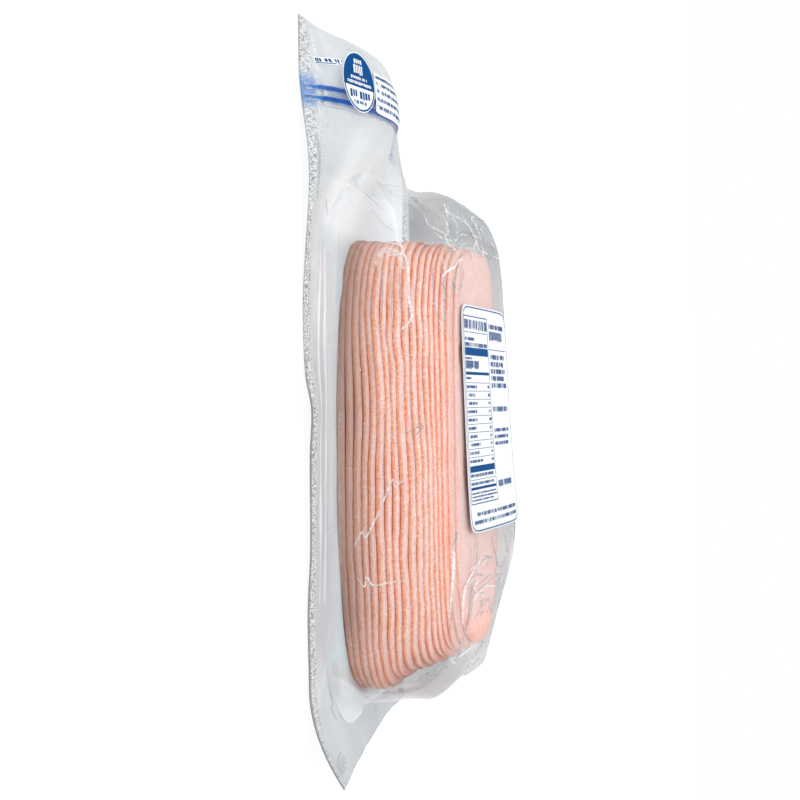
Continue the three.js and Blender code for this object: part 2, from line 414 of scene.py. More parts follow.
# A sharp crease in clear film: it catches light as a pale line, or bends it away as a grey one.
def creaseSurface(add, low, high, cover):
    place = add("TexCoord", output="Object")
    patch = add("TexNoise", {
        "Vector": place, "Scale": 1 / (film["creasePatch"] * mm), "Detail": 2, "Roughness": 0.6})
    base = add("ValToRGB", [patch], stops=[(0.35, low), (0.65, high)])
    veil = add("BsdfPrincipled", {"Base Color": base, "Roughness": 0.3, "IOR": film["ior"]})
    clear = add("BsdfTransparent")
    share = add("MapRange", [patch, 0.35, 0.65, cover - 0.25, cover + 0.1])
    return add("MixShader", [share, clear, veil])


web = {
    "cloud": 16,  # mm, soft unevenness of the ink behind the film
    "grit": 0.75,  # mm, the weld's knurling, a little coarse so that it shows
    "clouds": [(0.3, "#CCD1D4"), (0.55, "#D5D9DC"), (0.75, "#DDE1E4")],
    "weld": [(0.33, "#65696C"), (0.43, "#AFB3B6"), (0.53, "#D2D6D8"), (0.64, "#F2F3F4")],
    # painted light: the near white the web is lifted to beside the ham and along the stretch lines
    "bright": "#F7F9FA",
    # the welds' dark grit, and painted shade on the web
    "dull": "#9BA3AB",
    "mark": "#85868A",
    "melt": "#5F93CF",  # colour of the zip, melted out into the weld
    "cool": "#D0E6EF",  # blue-white tint painted beside the ham, against the warm light it reflects onto the web
    "lit": 0.22,  # painted light: the web glows this much where it is marked bright
}


# White-backed laminate: satin film over white ink, so it reads as a cool pale grey. Its welds are
# knurled, which shows as fine dark and light grit.
def webSurface(add):
    place = add("TexCoord", output="Object")
    pressed = add("Mapping", {"Vector": place, "Scale": (0.4, 1, 1)})
    cloud, grit = [
        add("TexNoise", {
            "Vector": vector, "Scale": 1 / (web[name] * mm), "Detail": detail, "Roughness": 0.6})
        for name, vector, detail in (("cloud", place, 3), ("grit", pressed, 2))]
    base = add("ValToRGB", [cloud], stops=web["clouds"])
    weld = add("ValToRGB", [grit], stops=web["weld"])
    specks = add("MapRange", [grit, 0.62, 0.8, 0.0, 0.3])
    dark = add("MapRange", [grit, 0.3, 0.7, 0.9, 1.1])
    base = add("Mix", {0: specks, 6: base, 7: tone(web["dull"])}, output=2, data_type="RGBA")
    for mark in ("seal", "bright", "cool", "dull", "mark", "melt"):
        felt = add("Attribute", output="Fac", attribute_name=mark)
        felt = add("Math", [felt, dark], operation="MULTIPLY", use_clamp=True)
        colour = weld if mark == "seal" else tone(web[mark])
        base = add("Mix", {0: felt, 6: base, 7: colour}, output=2, data_type="RGBA")
    # Painted light: places marked bright glow a little.
    lit = add("Attribute", output="Fac", attribute_name="bright")
    lit = add("Math", [lit, web["lit"]], operation="MULTIPLY")
    soft = add("Bump", {"Height": cloud, "Strength": 0.4, "Distance": 0.5 * mm})
    normal = add("Bump", {"Height": grit, "Strength": 0.12, "Distance": 0.5 * mm, "Normal": soft})
    gloss = add("MapRange", [grit, 0.3, 0.7, 0.4, 0.52])
    return add("BsdfPrincipled", {
        "Base Color": base, "Roughness": gloss, "IOR": 1.2, "Normal": normal,
        "Emission Color": tone(web["bright"]), "Emission Strength": lit})


zipper = {
    "tapeFrom": 108.0,  # mm along the pouch
    "tapeTo": 116.2,
    "farEnd": 66,  # the far weld swallows the zip from here out
    "ribHeight": 0.9,
    "ribSpread": 1.25,  # the colour spreads a little beyond each track
    "fadeFrom": 40,
    "flatFrom": -10,  # from the crest of the bow out it is pressed flat
    "flatTo": 2,
    "streak": 2,  # mm, flow marks of the extrusion, drawn out along the zip
}


# Extruded polyethylene, coloured in the mass: waxy and satin, its colour thinning out at the edges.
def zipSurface(add, thin, deep, full):
    place = add("TexCoord", output="Object")
    along = add("Mapping", {"Vector": place, "Scale": (0.12, 1, 1)})
    streak = add("TexNoise", {
        "Vector": along, "Scale": 1 / (zipper["streak"] * mm), "Detail": 3, "Roughness": 0.6})
    core = add("Attribute", output="Fac", attribute_name="core")
    shift = add("MapRange", [streak, 0.3, 0.7, -0.18, 0.18])
    depth = add("Math", [core, shift], operation="ADD", use_clamp=True)
    base = add("ValToRGB", [depth], stops=[(0.1, thin), (0.5, deep), (0.9, full)])
    normal = add("Bump", {"Height": streak, "Strength": 0.15, "Distance": 0.3 * mm})
    return add("BsdfPrincipled", {
        "Base Color": base, "Roughness": 0.45, "IOR": 1.2, "Normal": normal})


inkMottle = 0.6  # mm


# Flexographic ink, or coated label paper: flat colour with a faint fine mottle and a dull satin skin.
def printSurface(add, low, high, roughness):
    place = add("TexCoord", output="Object")
    mottle = add("TexNoise", {
        "Vector": place, "Scale": 1 / (inkMottle * mm), "Detail": 4, "Roughness": 0.6})
    base = add("ValToRGB", [mottle], stops=[(0.35, low), (0.65, high)])
    normal = add("Bump", {"Height": mottle, "Strength": 0.1, "Distance": 0.2 * mm})
    return add("BsdfPrincipled", {
        "Base Color": base, "Roughness": roughness, "IOR": 1.12, "Normal": normal})


hamMaterial = newMaterial("curedHam", hamSurface)
pocketFilmMaterial = newMaterial("clearFormedFilm", filmSurface, 0.08, 0.28)
headerFilmMaterial = newMaterial("clearHeaderFilm", filmSurface, 0.0, 0.25)
paleCrease = newMaterial("paleFilmCrease", creaseSurface, "#DDE3E6", "#FFFFFF", 0.8)
softCrease = newMaterial("softFilmCrease", creaseSurface, "#DDE3E6", "#F8FAFB", 0.42)
greyCrease = newMaterial("greyFilmCrease", creaseSurface, "#858F96", "#B4BDC3", 0.8)
webFold = newMaterial("greyWebFold", creaseSurface, "#9AA2A8", "#BBC2C7", 0.6)
webMaterial = newMaterial("whiteBackedFilm", webSurface)
zipMaterial = newMaterial("bluePolyethyleneZip", zipSurface, "#CED3DA", "#4178C0", "#0A4BA6")
tapeMaterial = newMaterial("zipTapeFilm", zipSurface, "#CED2D8", "#ABB1BE", "#9FA8B8")
blueInk = newMaterial("blueFilmInk", printSurface, "#004680", "#005090", 0.6)
whiteInk = newMaterial("whiteFilmInk", printSurface, "#EEF2F7", "#F8FAFD", 0.55)
labelPaper = newMaterial("coatedLabelPaper", printSurface, "#EEF2F6", "#F8FAFC", 0.5)
print("materials made")


# Soft lines left by the forming, each with a painted highlight along it: path over (x, y), width and
# height in mm, and the highlight's strength.
webStretch = [
    ([(-60, 64), (-65, 0), (-68, -74)], 1.3, 0.25, 0.65),
    ([(-53, 65), (-54, 0), (-59, -75)], 1.3, 0.25, 0.65),
]


# Knurled welds, soft buckles and stretch lines.
def webRelief(x, y):
    band = pouch["sealBand"]
    near = ease(band - halfWidth + 1, band - halfWidth - 1, x)
    far = ease(halfWidth - band - 1, halfWidth - band + 1, x)
    seal = np.maximum(np.maximum(near, far), ease(halfLength - 9, halfLength - 7, y))
    knurl = 0.05 * np.sin(math.tau * y / 1.7) * np.sin(math.tau * x / 1.7) * seal
    buckle = 0.3 * wander(3, x / 9, y / 22) + 0.14 * wander(4, x / 3.5, y / 9)
    relief = knurl + buckle * (1 - 0.6 * seal)
    broad = 5 * ease(62, 40, y) * ease(-128, -112, y)
    nearRim = ease(5.5 + broad - halfWidth, 3.5 + broad - halfWidth, x) + 0.3 * near
    left, right, foot, head, square = levelAt(pocketLevels, 0)
    reach = ((np.abs(2 * x - right + left) / (right + left)) ** square
             + (np.abs(2 * y - head + foot) / (head + foot)) ** square) ** (1 / square)
    inside = ease(1.0, 0.985, reach)
    swell = 2.2 * wander(6, y / 2.2, x / 5)
    marks = {
        "seal": np.clip((nearRim + far) * (1 - 0.4 * ease(84, 100, y)), 0, 1),
        # Painted light: the web is lightened, and made to glow, near the head of the pocket where the
        # ham shades it.
        "bright": (ease(58, 72, y) * ease(114, 90, y) * ease(-74, -50, x) * (1 - far)
                   * (0.5 + 0.36 * inside * ease(-50, -34, x))),
        # Painted: a blue-white tint beside the ham, against its warm reflected light.
        "cool": inside * (0.4 + 0.5 * ease(62, 50, y)) * ease(-112, -98, y),
        # Darker towards the foot, and a soft painted shadow on the flange beside the ham.
        "dull": 0.3 * ease(-96, -134, y) + (
            0.3 * ease(-78, -72, x) * ease(-46, -56, x) * ease(30, 10, y) * ease(-110, -90, y)),
        "mark": 0.8 * ease(2.4 - halfWidth, 1.0 - halfWidth, x) * ease(20, 0, y),
        "melt": (0.8 * ease(105.5, 109.5, y) * ease(121, 115.5, y)
                 * ease(9 - halfWidth, 3 - halfWidth, x + swell)),
    }
    # Each stretch line also carries a painted highlight, through the bright mark.
    for path, width, height, strength in webStretch:
        felt = fold(x, y, path, width)
        relief = relief + height * felt
        marks["bright"] = np.maximum(marks["bright"], strength * felt)
    return np.maximum(relief, -0.2), marks


def makeWeb():
    across = np.r_[np.linspace(-halfWidth, -46, 66), np.linspace(-45, halfWidth, 76)]
    x, y = np.meshgrid(across, np.linspace(-halfLength, halfLength, 321), indexing="ij")
    under = webHeight(x, y)
    relief, marks = webRelief(x, y)
    over = under + pouch["filmThickness"] + relief
    count = x.size
    order = np.arange(count).reshape(x.shape)
    points = np.concatenate([gridPoints(x, y, under), gridPoints(x, y, over)])
    sheet = gridFaces(*x.shape)[:, [0, 3, 2, 1]]
    rim = np.concatenate([order[0], order[1:, -1], order[-1, -2::-1], order[-2:0:-1, 0]])
    nextRim = np.roll(rim, -1)
    wall = np.stack([rim, rim + count, nextRim + count, nextRim], axis=-1)
    faces = np.concatenate([sheet, sheet[:, ::-1] + count, wall[:, ::-1]])
    # The underside is marked, so that the cut edge reads as a dark line.
    marks = {mark: np.r_[np.full(count, float(mark == "mark")), felt.ravel()]
             for mark, felt in marks.items()}
    meshPiece("front_web_film", points, faces, webMaterial, "web_film", ["front_web"], marks)


makeWeb()
print("web made")


stack = {
    "count": 18,
    "bottom": 0.5,  # mm above the ground
    "top": 46.1,
    "thick": 3.15,  # the lower slices against the upper ones
    "thin": 1.95,
    "around": 340,
    "roundness": 0.05,  # how far a rim is drawn in at its edges, against its thickness
    "reach": 0.35,  # mm, how unevenly the slices reach the film
    "gap": 0.03,  # mm, above and below each slice
    "footCut": 5,  # mm, cut off the upper slices' far corner at the foot
    "shadeTop": 19,  # mm, how high the shade of the web reaches
}
stackLevels = {
    "near": [(0, 38.0), (0.45, 38.9), (0.8, 37.8), (0.89, 35), (0.95, 30.5), (1, 23)],
    "far": [(0, 59), (1, 57.5)],
    "foot": [(0, 120.6), (0.15, 121.1), (0.28, 120), (0.45, 115), (0.75, 107), (1, 100)],
    "head": [(0, 67), (0.5, 66), (1, 62)],
    "squareHead": [(0, 2.6), (0.5, 3.1), (1, 3.9)],
    "squareFoot": [(0, 2.5), (0.5, 2.75), (1, 3.5)],
}
sliceRandom = np.random.default_rng(11)


# Heights of the planes between slices, from the web up.
def sliceHeights():
    places = np.linspace(0, 1, stack["count"])
    weights = stack["thick"] + (stack["thin"] - stack["thick"]) * ease(0.5, 0.8, places)
    weights = weights * (1 + 0.14 * (sliceRandom.random(stack["count"]) * 2 - 1))
    shares = np.r_[0, np.cumsum(weights)] / weights.sum()
    return stack["bottom"] + (stack["top"] - stack["bottom"]) * shares


sliceEdges = sliceHeights()


# How far the stack lifts off a level plane: its near rim curls up, its middle arches along the
# pouch, and its top slices climb towards the far side.
def stackLift(x, y, share):
    rim = (0.3 + 0.9 * ease(-80, -112, y)) * ease(-14, -40, x) * (1 - share) ** 1.5
    sway = 4.4 * wander(7, y / 34 + 5, share * 2.2 + x / 90)
    sway = sway + 2 * wander(8, y / 12 + 9, share * 5 + x / 60)
    arch = 16 * (ease(75, -15, y) * ease(-125, -70, y) - 0.5)
    tilt = 4.2 * ease(-45, 30, x) * share ** 3
    return webHeight(x, y) * (1 - share) + rim + tilt + (sway + arch) * share * (1 - share)


def makeSlice(index):
    low, high = sliceEdges[index], sliceEdges[index + 1]
    share = ((low + high) / 2 - stack["bottom"]) / (stack["top"] - stack["bottom"])
    turns = np.linspace(0, math.tau, stack["around"], endpoint=False)
    shift = sliceRandom.random(3) * 2 - 1
    recess, gap = stack["reach"] * sliceRandom.random() ** 2, stack["gap"]
    ragged = (0.26 * wander(20 + index, turns * 40 / math.pi, turns * 0)
              + 0.06 * wander(60 + index, turns * 110 / math.pi, turns * 0)
              + 0.5 * wander(90 + index, turns * 8 / math.pi, turns * 0))
    # Rings from the middle of the underside, up the rim and on over the top.
    inner, up = [0.02, 0.28, 0.55, 0.8, 0.93], [0.0, 0.1, 0.3, 0.5, 0.7, 0.9, 1.0]
    scale = np.r_[inner, np.ones(7), inner[::-1]][:, None]
    step = np.r_[np.zeros(5), up, np.ones(5)][:, None]
    inset = np.interp(step, up, [1.0, 0.38, 0.06, 0.0, 0.1, 0.42, 1.0])
    inward = inset * (high - low) * stack["roundness"]
    near, far, foot, head, squareHead, squareFoot = levelAt(stackLevels, share)
    square = squareFoot + (squareHead - squareFoot) * ease(-0.7, 0.7, np.sin(turns))
    x, y = oblongPoint(turns, near, far, foot, head, square)
    grow = 1 + (ragged - inward - 0.25 - recess) / np.hypot(x, y)
    x, y = x * grow + shift[0] * 0.12, y * grow + shift[1] * 0.5
    y = y + stack["footCut"] * ease(0.7, 1.0, share) * ease(10, 50, x) * ease(-70, -100, y)
    centreX, centreY = (far - near) / 2, (head - foot) / 2
    x, y = centreX + (x - centreX) * scale, centreY + (y - centreY) * scale
    z = low + gap + (high - low - 2 * gap) * step + stackLift(x, y, share)
    shade = np.clip(0.85 * (1 - z / stack["shadeTop"]), 0, 0.75) * (0.2 + 0.8 * ease(-112, -84, y))
    shade = shade + 0.08 * ease(-92, -118, y)
    gridPiece(f"ham_slice_{index + 1:02d}", x, y, z, hamMaterial, "sliced_ham", ["filled_pocket"],
              {"rim": step + x * 0, "face": (scale < 1) + x * 0, "low": shade}, closed=True)


for sliceIndex in range(stack["count"]):
    makeSlice(sliceIndex)
print("slices made")


pocket = {
    "around": 720,
    "levels": 170,
    "capRings": 44,
    "capCentre": (10, -14),  # mm
    "capHaze": 0.05,
    "ridge": 0.2,  # mm, how far the film follows each slice's edge
    "beads": 110,
    "beadFrom": (-100, 5),  # mm along the pouch and up
    "beadSpan": (156, 38),
    "clear": 0.25,  # mm, from the web and the slices to the film
    "crumples": 64,
}


# Ridges of the film over the edges of the slices.
def ridgeHeight(z):
    index = np.clip(np.searchsorted(sliceEdges, z) - 1, 0, stack["count"] - 1)
    share = np.clip((z - sliceEdges[index]) / (sliceEdges[index + 1] - sliceEdges[index]), 0, 1)
    return np.sin(share * math.pi) ** 0.6 - 0.6


# Soft folds of the loose film: path over (y, z), width and height in mm.
softFolds = [
    ([(76, 45), (69, 49), (61, 54)], 1.5, 0.8),
    ([(84, 18), (76, 30), (70, 36)], 1.6, 1.0),
    ([(80, 30), (72, 40), (69, 44)], 1.4, 0.9),
    ([(86, 8), (78, 14), (70, 16)], 1.5, 0.7),
    ([(-112, 6), (-117, 14), (-116, 24)], 1.6, 1.0),
    ([(-116, 22), (-113, 32), (-106, 40)], 1.4, 0.8),
    ([(-119, 30), (-116, 38), (-108, 46)], 1.2, 0.7),
]


def filmRelief(turn, x, y, z, share):
    slant = 14 * (1 - share)
    hug = ease(-0.25, -0.75, np.cos(turn)) * ease(-96, -80, y + slant) * ease(60, 46, y - slant)
    hug = hug * ease(0.03, 0.1, share) * ease(1.0, 0.94, share)
    ridges = pocket["ridge"] * ridgeHeight(z - stackLift(x, y, share)) * hug
    fine = 0.1 * wander(41, y / 2.2, z / 5) * hug
    far = ease(-0.5, 0.3, np.cos(turn))
    folds = 0.5 * wander(31, turn * 9, z / 14) + 0.25 * wander(32, turn * 26, z / 7)
    folds = (folds + 0.1 * wander(33, turn * 60, z / 4)) * (1 - hug) * (0.35 + 0.65 * far)
    for path, width, height in softFolds:
        folds = folds + height * fold(y, z, path, width) * (1 - hug)
    return ridges + fine + folds * ease(0.02, 0.14, share)


# How much the film hides (haze) and how white it looks (frost).
def filmClarity(x, y, z):
    beyond = np.clip(ease(50, 58, x) + ease(66, 76, y) + ease(-104, -114, y), 0, 1)
    loose = beyond * ease(-34, -8, x)
    streak = 0.5 + 0.5 * wander(51, (y + 0.7 * z) / 9, (z - 0.5 * y) / 26)
    blot = 0.5 + 0.5 * wander(52, y / 16 + 3, z / 13)
    wisp = ease(0.55, 0.9, 0.5 + 0.5 * wander(53, (y - 0.4 * z) / 5, (z + 0.3 * x) / 17))
    nose = ease(0, -2.5, y + np.minimum(103 + 1.25 * z, 114)) * ease(-2, -14, x) * ease(26.5, 24.5, z)
    start = 8 + (14.2 - 0.2 * x) * ease(40, 60, y)
    haze = 0.015 + loose * ease(-0.5, 1.0, z - start) * (0.56 + 0.18 * blot) * (1 - nose)
    pressed = ease(50, 57, x) * ease(46, 36, z) * ease(-108, -94, y) * ease(74, 62, y)
    haze = haze * (1 - 0.85 * pressed) * (1 + 0.25 * ease(60, 70, y) * ease(20, 40, z))
    haze = haze + nose * (0.42 + 0.3 * ease(9, 3, z) * ease(-118, -122, y))
    # Frost: its streaks and wisps are painted highlights; it is also paler higher up and towards the
    # foot.
    frost = 0.18 + 0.24 * streak + 0.34 * wisp + 0.22 * ease(12, 44, z) + 0.2 * ease(-84, -110, y)
    frost = 1 - loose + loose * (frost - 0.4 * ease(40, 60, y) * ease(20, 40, z))
    return haze, np.maximum(frost, nose)


def makePocketFilm():
    turn, share = np.meshgrid(np.linspace(0, math.tau, pocket["around"], endpoint=False),
                              np.linspace(0, 1, pocket["levels"]) ** 1.15)
    x, y = pocketOutline(turn, share)
    low = webTop(x, y) + pocket["clear"]
    z = low + (pocketTop(x, y) - low) * share
    grow = 1 + filmRelief(turn, x, y, z, share) / np.hypot(x, y)
    x, y = x * grow, y * grow
    centre, scale = pocket["capCentre"], np.linspace(1, 0.01, pocket["capRings"])[1:, None]
    capX, capY = centre[0] + (x[-1] - centre[0]) * scale, centre[1] + (y[-1] - centre[1]) * scale
    sway = 0.35 * wander(61, capX / 12, capY / 16) + 0.15 * wander(62, capX / 4, capY / 6)
    capZ = pocketTop(capX, capY) + sway - 0.15
    x, y, z = [np.vstack(pair) for pair in ((x, capX), (y, capY), (z, capZ))]
    haze, frost = filmClarity(x, y, z)
    haze[pocket["levels"]:] += pocket["capHaze"]
    gridPiece("pocket_film", x, y, z, pocketFilmMaterial, "pocket_film", ["filled_pocket"],
              {"haze": haze, "frost": frost}, closed=True, shadow=False)


# Sharp creases: half width, and path over (along the pouch, up the near wall and on across) in mm.
paleCreases = [
    (0.28, [(-57, 7), (-51, 10.5), (-53, 12), (-41.5, 18), (-31, 22.5), (-33.5, 24), (-27, 30)]),
    (0.26, [(-68.5, 8), (-72.5, 11), (-68.5, 12), (-72, 14.5), (-71, 19.5), (-69.5, 29)]),
    (0.45, [(62, 26), (56, 28.5), (50, 30), (38.5, 30.3), (31.5, 31), (26, 25.5)]),
    (0.3, [(61.5, 20), (60, 27), (57, 27), (56, 21)]),
    (0.35, [(46.5, 43), (49, 44), (54, 50), (56, 60)]),
    (0.28, [(-57, 45.3), (-64, 45.2), (-73, 44.8), (-82, 44.2)]),
    (0.5, [(-64.5, 80), (-69.5, 67), (-74.5, 56), (-79, 53), (-89, 52.5)]),
    (0.35, [(-80.5, 109), (-78, 86.5), (-81, 73)]),
    (0.35, [(-93, 104), (-92.5, 87), (-97, 74.5)]),
    (0.35, [(-96.5, 71), (-101, 69), (-101, 46), (-103.5, 45)]),
]
softCreases = [
    (1.2, [(52, 17), (57, 18.5), (58.5, 22), (56.5, 26), (50, 28.5)]),
    (0.4, [(77, 42), (73, 44.5), (69.5, 46.5), (66.5, 49.5), (64, 46.5)]),
    (0.4, [(77, 42), (73, 43.5), (66.5, 44.5), (63.5, 45)]),
    (0.6, [(76, 43.5), (72, 46), (71, 66.5), (67.5, 78.5), (63, 87), (59.5, 98)]),
    (0.5, [(74.5, 50), (71, 66)]),
    (0.35, [(73, 35), (68, 37.5), (65, 42.5), (63.5, 45.5)]),
    (0.35, [(65, 43.5), (59.5, 45.5), (54, 53.5)]),
    (0.35, [(65, 39.5), (62, 44.5), (64, 52.5)]),
    (0.4, [(75.5, 65.5), (71.5, 86), (65, 93)]),
]
greyCreases = [
    (0.3, [(58, 43.5), (50, 43.3), (38.5, 43.7), (25, 43.5)]),
    (0.16, [(53, 19.5), (43, 19.7), (31, 19.3)]),
    (0.16, [(53, 23), (39, 23.2), (25, 22.8)]),
    (0.16, [(51, 26.5), (43, 26.4), (35, 26.7)]),
    (0.2, [(58, 41.5), (53, 40.5), (48, 39.5), (38, 40), (31, 41)]),
    (0.3, [(53, 52), (48, 47), (41, 46)]),
    (0.3, [(53, 52), (52.5, 58), (50, 60), (47, 59), (43, 55), (38.5, 53)]),
    (0.3, [(45, 42.5), (42.5, 44)]),
    (0.3, [(75.5, 27.5), (76, 30.5), (77, 33.5)]),
    (0.3, [(76, 43), (72, 45), (67.5, 49), (65.5, 46), (69, 44.5), (74, 43)]),
    (0.3, [(62, 44.5), (65, 46), (63.5, 51)]),
    (0.3, [(58.5, 44.5), (60, 50), (62, 68.5)]),
    (0.15, [(-51, 46), (-56, 45.6), (-60, 45.4)]),
    (0.15, [(-80, 44.8), (-85, 44.5), (-90, 44)]),
    (0.45, [(-54.5, 72), (-65, 71), (-76, 67.5), (-87, 66.5), (-96.5, 50.5), (-102, 44.5)]),
    (0.35, [(-57.5, 91.5), (-70, 104), (-72.5, 116), (-66.5, 121), (-58.5, 112.5)]),
    (0.35, [(-71, 101), (-75, 100), (-77.5, 84.5), (-79.5, 69)]),
    (0.35, [(-84, 112.5), (-86.5, 104.5), (-84.5, 97), (-89.5, 77)]),
    (0.35, [(-94, 91), (-103, 98.5), (-106.5, 88), (-107, 61)]),
    (0.3, [(-104, 43), (-105.5, 36.5), (-110.5, 29.5)]),
    (0.2, [(-13, 28), (-10, 35), (-15, 31)]),
]


# Where the film stands in those terms.
def skinPlace(y, w, lift):
    share = np.clip(w / nearTop, 0, 1)
    near, far, foot, head, square = levelAt(pocketLevels, share)
    along = (y - (head - foot) / 2) / ((head + foot) / 2)
    inwards = (1 - np.abs(np.clip(along, -1, 1)) ** square) ** (1 / square)
    x = (far - near) / 2 - (far + near) / 2 * inwards
    x = x + np.maximum(w - nearTop, 0)
    low = webTop(x, y) + pocket["clear"]
    onTop = ease(nearTop - 2, nearTop + 1, w)
    lift = lift + pocket["clear"]
    return x - lift * (1 - onTop), y, low + (pocketTop(x, y) - low) * share + lift * onTop


# Fine folds of the web: half width, and path over (y, x) in mm.
paleWebFolds = [
    (0.22, [(83, -46), (82.5, 10), (79, 74)]),
    (0.2, [(101.8, -80), (102.2, -63), (103.3, -33)]),
    (0.25, [(137, -79.5), (120, -79.3), (105, -79.5)]),
]
greyWebFolds = [
    (0.1, [(83.7, -30), (84.6, 32)]),
    (0.1, [(81, 13), (77.5, 69)]),
    (0.22, [(76, -62), (71, -52)]),
    (0.2, [(98, -81), (74, -76)]),
    (0.22, [(-102, -57), (-114.4, -52.5), (-117, -55.5), (-122, -52.5)]),
    (0.26, [(-131.6, -63), (-132.5, -75.5)]),
    (0.26, [(-133, -62), (-133.6, -78.5)]),
    (0.26, [(-134, -60.5), (-134.9, -78.5)]),
    (0.26, [(-135.2, -62), (-135.7, -79.5)]),
    (0.26, [(-136.4, -64.5), (-136.5, -77.5)]),
]


def webPlace(y, w, lift):
    return w, y, webTop(w, y) + 0.3 + lift


# Thin tapering strips along paths, wider across the pouch where the film lies level.
def makeCreases(name, creases, place, material):
    strips, onWeb = Patches(), place is webPlace
    for half, path in creases:
        line, stations = smoothPath(path)
        y, w = line.T
        alongY, alongW = np.gradient(y), np.gradient(w)
        length = np.maximum(np.hypot(alongY, alongW), 1e-6)
        taper = np.clip(np.sin(math.pi * stations / stations[-1]), 0, 1) ** 0.45 * half + 0.04
        spread = taper * (1 + 2.4 * (onWeb or ease(nearTop - 2, nearTop + 4, w)))
        across = np.array([-1, 0, 1])
        strips.add(*place(y[:, None] - (alongW / length * taper)[:, None] * across,
                          w[:, None] + (alongY / length * spread)[:, None] * across,
                          0.14 * (1 - np.abs(across))))
    strips.piece(name, material, "web_film" if onWeb else "pocket_film")


crumpleRandom = np.random.default_rng(9)


# Small crumples where the film is slack: on top, near the foot and near the head.
def crumples(count):
    made = []
    for _ in range(count):
        atFoot = crumpleRandom.random() < 0.65
        size, corner = ((46, 72), (-110, 50)) if atFoot else ((16, 66), (60, 52))
        start = crumpleRandom.random(2) * size + corner
        heading = crumpleRandom.random() * math.tau
        reach = 2 + 4 * crumpleRandom.random()
        bend = crumpleRandom.random(2) * 2 - 1
        step = np.array([math.sin(heading), 3 * math.cos(heading)]) * reach
        middle = start + step / 2 + bend * (0.7, 2.5)
        made.append((0.16 + 0.2 * crumpleRandom.random(), [start, middle, start + step]))
    return made


# Tiny beads of moisture under the film, as shallow domes, coloured pale as painted glints.
def makeBeads():
    beads = Patches()
    turn, rise = gridOf((0, math.tau, 8), (0.05, 1, 3))
    for _ in range(pocket["beads"]):
        y, w = [start + span * crumpleRandom.random()
                for start, span in zip(pocket["beadFrom"], pocket["beadSpan"])]
        radius = 0.12 + 0.2 * crumpleRandom.random() ** 2
        beads.add(*skinPlace(y + radius * 1.3 * rise * np.cos(turn), w + radius * rise * np.sin(turn),
                             radius * 0.6 * (1 - rise ** 2)))
    beads.piece("moisture_beads_painted_glint", paleCrease, "sliced_ham", shadow=True)


makePocketFilm()
scattered = crumples(pocket["crumples"])
makeCreases("film_creases_pale", paleCreases + scattered[::2], skinPlace, paleCrease)
makeCreases("film_creases_soft", softCreases, skinPlace, softCrease)
makeCreases("film_creases_grey", greyCreases + scattered[1::2], skinPlace, greyCrease)
makeCreases("web_folds_pale", paleWebFolds, webPlace, softCrease)
makeCreases("web_folds_grey", greyWebFolds, webPlace, webFold)
makeBeads()
print("pocket film made")


# How far the zip stands up: it is pressed flat in the near weld and beyond the crest of the bow.
def zipStand(x):
    flat = 0.85 * ease(zipper["flatFrom"], zipper["flatTo"], x)
    return ease(0.5 - halfWidth, 8 - halfWidth, x) * (1 - flat)


def makeZip():
    x, y = gridOf((7.5 - halfWidth, zipper["farEnd"], 120), (zipper["tapeFrom"], zipper["tapeTo"], 18))
    feather = ease(0, 1.6, y - zipper["tapeFrom"]) * ease(0, 1.2, zipper["tapeTo"] - y)
    shown = ease(7.5 - halfWidth, 12 - halfWidth, x) * ease(zipper["farEnd"], zipper["fadeFrom"], x)
    z = webTop(x, y) + 0.2 + 0.25 * feather * zipStand(x)
    gridPiece("zip_tape", x, y, z, tapeMaterial, "zip_profile", marks={"core": feather * shown})
    for number in (1, 2):
        low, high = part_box(f"zip_track_{number}")
        centre, half = (low[1] + high[1]) / 2 / mm, (high[1] - low[1]) / 2 / mm * zipper["ribSpread"]
        x, turn = gridOf((low[0] / mm, zipper["farEnd"], 150), (0, math.pi, 13))
        y = centre + half * np.cos(turn)
        stand = zipStand(x)
        z = webTop(x, y) + 0.2 + stand * (0.3 + zipper["ribHeight"] * np.sin(turn))
        shown = ease(zipper["farEnd"], zipper["fadeFrom"], x) * (1 - 0.5 * ease(-77, -80, x))
        gridPiece(f"zip_rib_{number}", x, y, z, zipMaterial, "zip_profile", [f"zip_track_{number}"],
                  {"core": np.sin(turn) ** 1.2 * shown})


makeZip()

header = {
    "filmFrom": 84,  # mm along the pouch
    "badge": (-62.3, 118.9),
    "badgeRadius": 10.85,
    "badgeHeight": 17.0,  # the film is drawn flat under the badge, and slopes as one plane
    "badgeSlope": (0.3, -0.08),
    "halo": 0.4,
    "divider": 117.0,
    "box": (-50.6, 8.0, 109.9, 126.4),
    "strip": (-79.8, -73.2, 124.3),
    "inkLift": 0.08,  # from each layer of ink to the next
}


# Top of the header's clear film, welded at its margins and lifted by the zip.
def headerFilmTop(x, y):
    margin = ease(halfWidth - 4, halfWidth - 12, np.abs(x))
    lift = ease(92, 108, y) * ease(129, 118, y)
    rise = 1.1 - 0.8 * ease(20, 34, x)
    sway = 0.3 * wander(81, x / 14, y / 8) + 0.12 * wander(82, x / 5, y / 4)
    loose = webHeight(x, y) + 0.75 + 0.3 * (1 - margin) * lift
    loose = loose + (rise * lift + sway * ease(86, 96, y)) * margin
    fromX, fromY = x - header["badge"][0], y - header["badge"][1]
    slope = header["badgeSlope"]
    plane = header["badgeHeight"] + slope[0] * fromX + slope[1] * fromY
    flat = ease(17.5, 12, np.hypot(fromX, fromY))
    return np.maximum(loose * (1 - flat) + plane * flat, webHeight(x, y) + 0.7)


